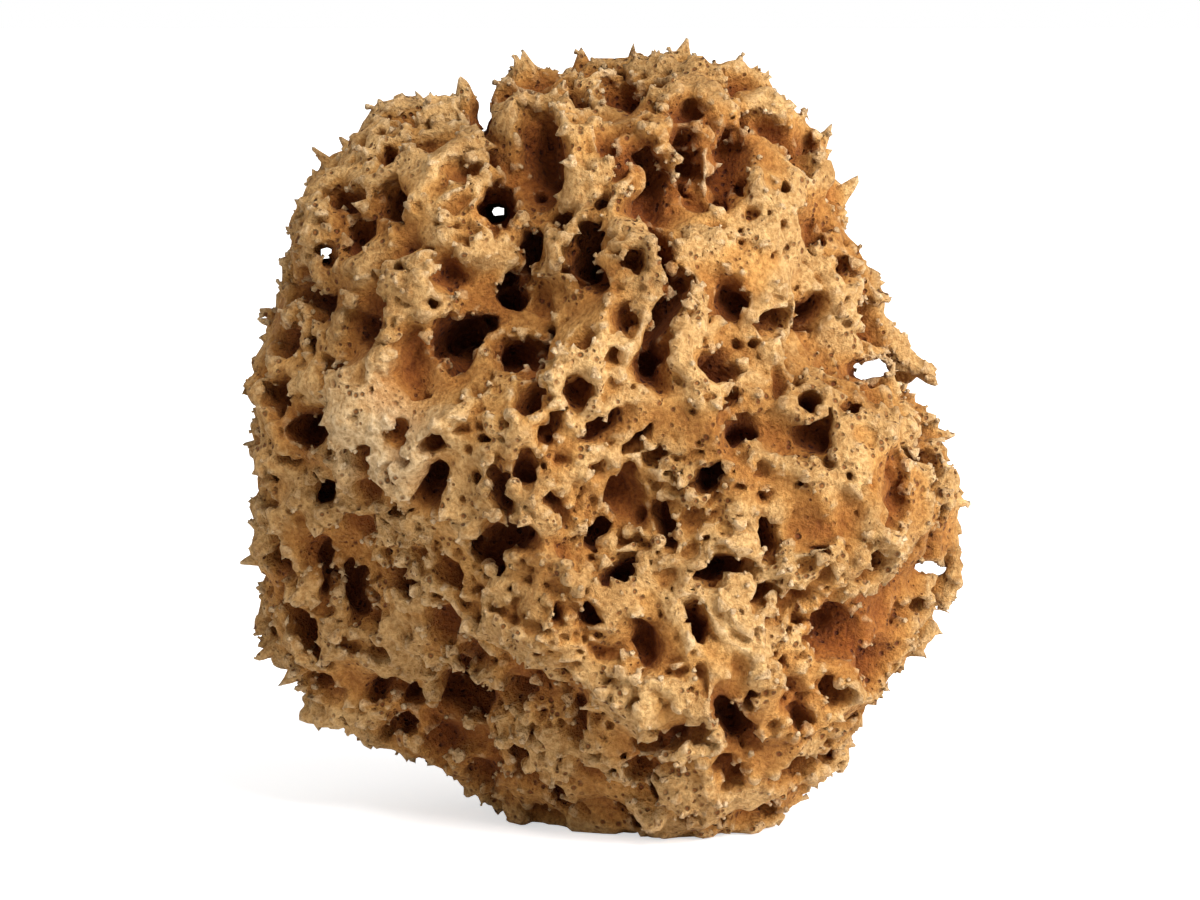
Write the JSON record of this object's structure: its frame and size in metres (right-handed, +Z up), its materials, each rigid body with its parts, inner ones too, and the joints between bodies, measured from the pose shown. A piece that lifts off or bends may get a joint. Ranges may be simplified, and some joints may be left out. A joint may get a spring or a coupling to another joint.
{
  "type": "sea sponge",
  "caption": "Rounded natural sea sponge, lobed and notched at the crown, hollowed all over by pits and pores, narrowing to a small flat cut base that it stands on.",
  "frame": {"origin": "on the flat cut base at its height, under the middle of the whole sponge's box", "axes": "+Z up from the cut base, the longest way; -Y towards the pitted front that the picture shows; +X to the right as seen from the front"},
  "size_m": [0.138, 0.1154, 0.1493],
  "materials": {
    "sponge_fibre": "dry springy fibre network, golden brown, matt, darker and more orange down in the pits"
  },
  "bodies": {
    "root": {"sponge": "sponge_fibre"}
  },
  "joints": []
}
